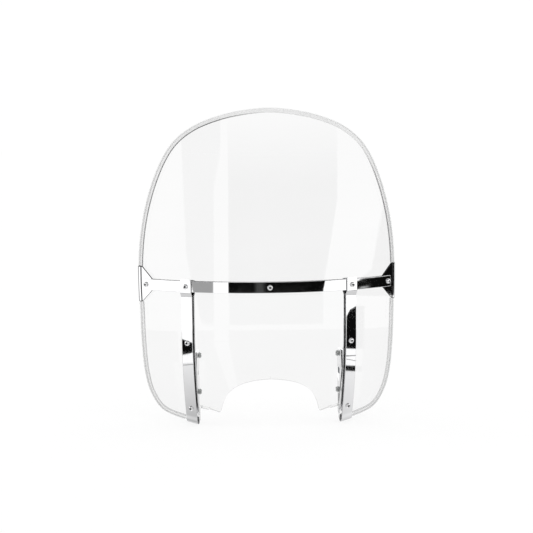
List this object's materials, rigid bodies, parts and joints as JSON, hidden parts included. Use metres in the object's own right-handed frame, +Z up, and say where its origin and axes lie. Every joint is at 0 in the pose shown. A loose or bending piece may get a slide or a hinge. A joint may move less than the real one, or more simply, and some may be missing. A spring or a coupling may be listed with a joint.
{
  "type": "motorcycle windshield",
  "caption": "Clear bent windshield in a chrome strap and brace frame, with side plates and sprung wire latches that dock it onto the fork.",
  "frame": {"origin": "midway between the two latch pivots on the side plates, on the shield's middle plane, where the motorcycle's fork holds the shield", "axes": "+Z up along the shield, +Y from the shield towards the rider, X across the motorcycle with +X on the right of someone facing the shield's front; -Y is the outer, wind-facing side"},
  "size_m": [0.5258, 0.1221, 0.6336],
  "materials": {
    "clear_sheet": "clear polycarbonate sheet, polished",
    "clear_trim": "clear flexible vinyl, slightly cloudy",
    "chrome": "bright chrome plating",
    "zinc_steel": "zinc-plated steel",
    "spring_steel": "drawn spring wire, lightly oiled",
    "black_rubber": "matt black rubber strip"
  },
  "bodies": {
    "shield": {"windshield_panel": "clear_sheet", "upper_edge_trim": "clear_trim", "left_lower_edge_trim": "clear_trim", "right_lower_edge_trim": "clear_trim", "front_strap": "chrome", "rear_strap": "chrome", "front_strap_gasket": "black_rubber", "rear_strap_gasket": "black_rubber", "left_end_clip": "chrome", "right_end_clip": "chrome", "left_front_brace": "chrome", "right_front_brace": "chrome", "left_side_bracket": "chrome", "right_side_bracket": "chrome", "centre_screw": "chrome", "centre_cap_nut": "chrome", "left_clip_screw": "chrome", "left_clip_cap_nut": "chrome", "left_top_screw": "chrome", "left_top_cap_nut": "chrome", "left_middle_screw": "chrome", "left_middle_cap_nut": "chrome", "left_low_screw": "chrome", "left_low_cap_nut": "chrome", "right_clip_screw": "chrome", "right_clip_cap_nut": "chrome", "right_top_screw": "chrome", "right_top_cap_nut": "chrome", "right_middle_screw": "chrome", "right_middle_cap_nut": "chrome", "right_low_screw": "chrome", "right_low_cap_nut": "chrome", "left_latch_pivot_screw": "chrome", "left_latch_pivot_nut": "zinc_steel", "left_latch_stop_screw": "chrome", "left_latch_stop_nut": "zinc_steel", "right_latch_pivot_screw": "chrome", "right_latch_pivot_nut": "zinc_steel", "right_latch_stop_screw": "chrome", "right_latch_stop_nut": "zinc_steel"},
    "left_latch": {"left_latch_wire": "spring_steel"},
    "right_latch": {"right_latch_wire": "spring_steel"}
  },
  "joints": [
    {"name": "left_latch_swing", "type": "hinge", "parent": "shield", "child": "left_latch", "pos_m": [-0.14336, 0, 0], "axis": [0.989, -0.1478, 0], "range_deg": [0, 95], "stiffness_Nm_per_rad": 0.08, "springref_deg": -11.46},
    {"name": "right_latch_swing", "type": "hinge", "parent": "shield", "child": "right_latch", "pos_m": [0.14336, 0, 0], "axis": [0.989, 0.1478, 0], "range_deg": [0, 95], "stiffness_Nm_per_rad": 0.08, "springref_deg": -11.46}
  ]
}
